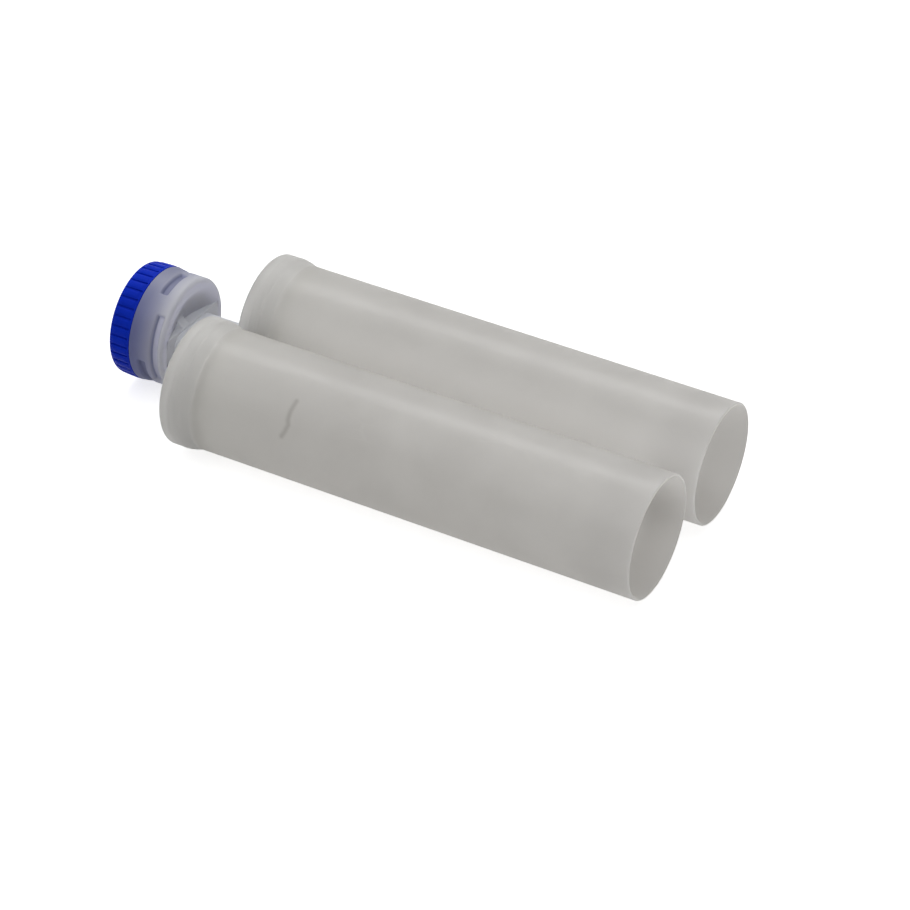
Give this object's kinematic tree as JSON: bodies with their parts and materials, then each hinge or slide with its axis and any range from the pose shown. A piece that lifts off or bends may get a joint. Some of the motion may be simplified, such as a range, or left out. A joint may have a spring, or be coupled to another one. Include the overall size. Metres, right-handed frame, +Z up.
{
  "type": "twin-barrel adhesive cartridge",
  "caption": "Side-by-side adhesive cartridge with open rear mouths, sliding vented pistons, a slotted outlet neck and a grooved screw cap that closes both outlets.",
  "frame": {"origin": "on the surface the cartridge lies on, under the middle of its length and width", "axes": "+X along the barrels towards the open rear mouths, so the outlet is at -X; +Y across the barrels from the near one to the far one; +Z up"},
  "size_m": [0.215, 0.096, 0.046],
  "materials": {
    "barrel_plastic": "frosted natural polypropylene",
    "head_plastic": "frosted natural polypropylene",
    "cap_plastic": "satin moulded",
    "stopper_plastic": "satin moulded",
    "gasket_rubber": "matt",
    "piston_plastic": "waxy moulded polyethylene",
    "ring_rubber": "matt",
    "pin_plastic": "satin moulded"
  },
  "bodies": {
    "cartridge": {"near_barrel": "barrel_plastic", "far_barrel": "barrel_plastic", "outlet_head": "head_plastic"},
    "stopper": {"outlet_stopper": "stopper_plastic", "stopper_gasket": "gasket_rubber"},
    "cap": {"screw_cap": "cap_plastic"},
    "near_plunger": {"near_piston": "piston_plastic", "near_piston_ring": "ring_rubber"},
    "far_plunger": {"far_piston": "piston_plastic", "far_piston_ring": "ring_rubber"},
    "near_vent": {"near_vent_pin": "pin_plastic"},
    "far_vent": {"far_vent_pin": "pin_plastic"}
  },
  "joints": [
    {"name": "stopper_lift", "type": "slide", "parent": "cartridge", "child": "stopper", "axis": [-1, 0, 0], "range_m": [0, 0.0138]},
    {"name": "cap_turn", "type": "hinge", "parent": "stopper", "child": "cap", "pos_m": [-0.0991, 0, 0.023], "axis": [-1, 0, 0], "range_deg": [0, 360]},
    {"name": "near_piston_slide", "type": "slide", "parent": "cartridge", "child": "near_plunger", "axis": [1, 0, 0], "range_m": [0, 0.155]},
    {"name": "far_piston_slide", "type": "slide", "parent": "cartridge", "child": "far_plunger", "axis": [1, 0, 0], "range_m": [0, 0.155]},
    {"name": "near_vent_push", "type": "slide", "parent": "near_plunger", "child": "near_vent", "axis": [-1, 0, 0], "range_m": [0, 0.0014]},
    {"name": "far_vent_push", "type": "slide", "parent": "far_plunger", "child": "far_vent", "axis": [-1, 0, 0], "range_m": [0, 0.0014]}
  ],
  "couplings": [
    {"joint": "stopper_lift", "follows": "cap_turn", "m_per_rad": 0.0021804}
  ]
}
